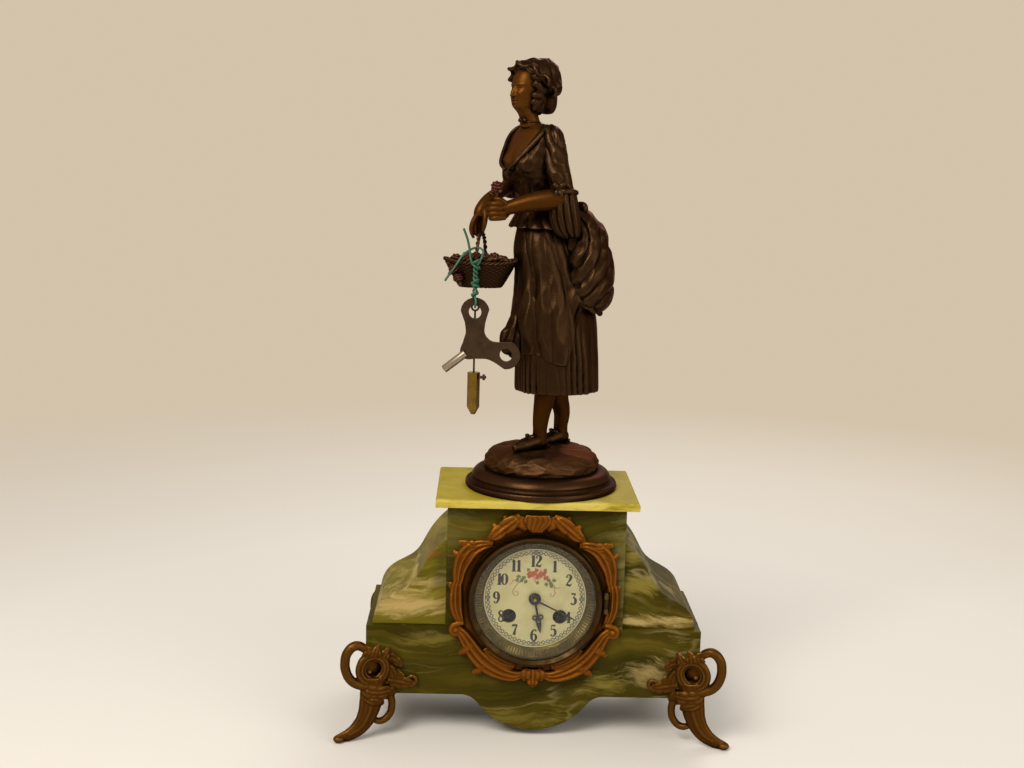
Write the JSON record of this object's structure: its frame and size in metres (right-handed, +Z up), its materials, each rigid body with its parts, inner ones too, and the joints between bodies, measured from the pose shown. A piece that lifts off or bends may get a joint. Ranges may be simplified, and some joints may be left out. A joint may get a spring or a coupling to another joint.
{
  "type": "figural mantel clock",
  "caption": "Mantel clock with a standing flower seller on a stepped onyx case, round enamel dial under a hinged glass bezel, cast scroll feet, hung winding key and pendulum.",
  "frame": {"origin": "on the ground under the middle of the four feet", "axes": "+Z up, -Y towards the viewer in front of the dial, +X to the viewer's right"},
  "size_m": [0.3172, 0.1624, 0.5415],
  "materials": {
    "onyx": "polished green onyx with veins",
    "foot_bronze": "cast, brown gilt",
    "gilt": "cast, copper gilt",
    "dial_enamel": "cream enamel",
    "brass": "aged brass",
    "bell_metal": "nickelled bell metal",
    "steel": "dull steel",
    "glass": "clear",
    "figure_bronze": "brown patinated spelter",
    "dark_wood": "turned, dark stained",
    "green_plastic": "green coated wire"
  },
  "bodies": {
    "case": {"base_front_slab": "onyx", "base_back_slab": "onyx", "base_left_block": "onyx", "base_right_block": "onyx", "mid_front_slab": "onyx", "mid_back_slab": "onyx", "mid_left_slab": "onyx", "mid_right_slab": "onyx", "left_wing": "onyx", "right_wing": "onyx", "top_slab": "onyx", "foot_front_left": "foot_bronze", "foot_front_right": "foot_bronze", "foot_back_left": "foot_bronze", "foot_back_right": "foot_bronze", "dial_surround": "gilt", "dial": "dial_enamel", "dial_ring": "brass", "rear_ring": "brass", "front_plate": "brass", "back_plate": "brass", "pillars": "brass", "bell": "bell_metal", "foot_screws": "steel", "hinge_pins": "steel", "ratchet_clicks": "steel", "figure_fixing": "steel", "ground_mound": "figure_bronze", "legs": "figure_bronze", "skirt": "figure_bronze", "bodice": "figure_bronze", "left_arm": "figure_bronze", "right_arm": "figure_bronze", "head": "figure_bronze", "mob_cap": "figure_bronze", "basket": "figure_bronze", "flowers": "figure_bronze", "socle": "dark_wood", "wire_tie": "green_plastic"},
    "bezel_door": {"bezel": "brass", "glass": "glass"},
    "rear_door": {"rear_door": "brass"},
    "hands": {"minute_hand": "steel", "cannon_pinion": "brass"},
    "hour": {"hour_hand": "steel", "hour_wheel": "brass"},
    "minute_wheel": {"minute_wheel": "brass"},
    "centre": {"centre_wheel": "brass"},
    "second": {"second_wheel": "brass"},
    "third": {"third_wheel": "brass"},
    "escape": {"escape_wheel": "brass"},
    "going_barrel": {"going_barrel": "brass"},
    "strike_barrel": {"strike_barrel": "brass"},
    "pin_wheel": {"pin_wheel": "brass"},
    "going_winder": {"going_winding_arbor": "steel"},
    "strike_winder": {"strike_winding_arbor": "steel"},
    "anchor": {"anchor": "steel"},
    "hammer": {"hammer": "steel"},
    "key": {"key": "steel"},
    "pendulum": {"pendulum": "brass"}
  },
  "joints": [
    {"name": "bezel_hinge", "type": "hinge", "parent": "case", "child": "bezel_door", "pos_m": [0.0562, -0.0625, 0.1154], "axis": [0, 0, 1], "range_deg": [0, 110]},
    {"name": "rear_door_hinge", "type": "hinge", "parent": "case", "child": "rear_door", "pos_m": [0.0562, 0.0603, 0.1154], "axis": [0, 0, -1], "range_deg": [0, 110]},
    {"name": "minute_hand_turn", "type": "hinge", "parent": "case", "child": "hands", "pos_m": [0, 0, 0.1154], "axis": [0, 1, 0], "continuous": true},
    {"name": "minute_wheel_turn", "type": "hinge", "parent": "case", "child": "minute_wheel", "pos_m": [0, 0, 0.1298], "axis": [0, 1, 0], "continuous": true},
    {"name": "hour_hand_turn", "type": "hinge", "parent": "case", "child": "hour", "pos_m": [0, 0, 0.1154], "axis": [0, 1, 0], "continuous": true},
    {"name": "third_wheel_turn", "type": "hinge", "parent": "case", "child": "third", "pos_m": [-0.00498, 0, 0.13071], "axis": [0, 1, 0], "continuous": true},
    {"name": "escape_wheel_turn", "type": "hinge", "parent": "case", "child": "escape", "pos_m": [0.00182, 0, 0.14203], "axis": [0, 1, 0], "continuous": true},
    {"name": "centre_wheel_turn", "type": "hinge", "parent": "case", "child": "centre", "pos_m": [0, 0, 0.1154], "axis": [0, 1, 0], "continuous": true},
    {"name": "second_wheel_turn", "type": "hinge", "parent": "case", "child": "second", "pos_m": [0.0156, 0, 0.12165], "axis": [0, 1, 0], "continuous": true},
    {"name": "going_barrel_turn", "type": "hinge", "parent": "case", "child": "going_barrel", "pos_m": [0.0205, 0, 0.1002], "axis": [0, 1, 0], "continuous": true},
    {"name": "strike_barrel_turn", "type": "hinge", "parent": "case", "child": "strike_barrel", "pos_m": [-0.0205, 0, 0.1002], "axis": [0, 1, 0], "continuous": true},
    {"name": "pin_wheel_turn", "type": "hinge", "parent": "case", "child": "pin_wheel", "pos_m": [-0.0156, 0, 0.12165], "axis": [0, 1, 0], "continuous": true},
    {"name": "going_winding", "type": "hinge", "parent": "case", "child": "going_winder", "pos_m": [0.0205, 0, 0.1002], "axis": [0, 1, 0], "continuous": true},
    {"name": "strike_winding", "type": "hinge", "parent": "case", "child": "strike_winder", "pos_m": [-0.0205, 0, 0.1002], "axis": [0, 1, 0], "continuous": true},
    {"name": "anchor_rock", "type": "hinge", "parent": "case", "child": "anchor", "pos_m": [0.00182, 0, 0.15393], "axis": [0, 1, 0], "range_deg": [-4, 4]},
    {"name": "hammer_lift", "type": "hinge", "parent": "case", "child": "hammer", "pos_m": [-0.028, 0, 0.1354], "axis": [0, 1, 0], "range_deg": [-18, 0]},
    {"name": "key_swing", "type": "hinge", "parent": "case", "child": "key", "pos_m": [-0.0531, -0.031, 0.3462], "axis": [0, 1, 0], "range_deg": [-6, 6]},
    {"name": "pendulum_swing", "type": "hinge", "parent": "case", "child": "pendulum", "pos_m": [-0.0531, -0.026, 0.3462], "axis": [0, 1, 0], "range_deg": [-6, 6]}
  ],
  "couplings": [
    {"joint": "minute_wheel_turn", "follows": "minute_hand_turn", "ratio": -0.33333},
    {"joint": "hour_hand_turn", "follows": "minute_hand_turn", "ratio": 0.083333},
    {"joint": "escape_wheel_turn", "follows": "third_wheel_turn", "ratio": -10},
    {"joint": "centre_wheel_turn", "follows": "third_wheel_turn", "ratio": -0.095238},
    {"joint": "second_wheel_turn", "follows": "third_wheel_turn", "ratio": 0.015873},
    {"joint": "going_barrel_turn", "follows": "third_wheel_turn", "ratio": -0.0025063},
    {"joint": "pin_wheel_turn", "follows": "strike_barrel_turn", "ratio": -6.3333}
  ]
}
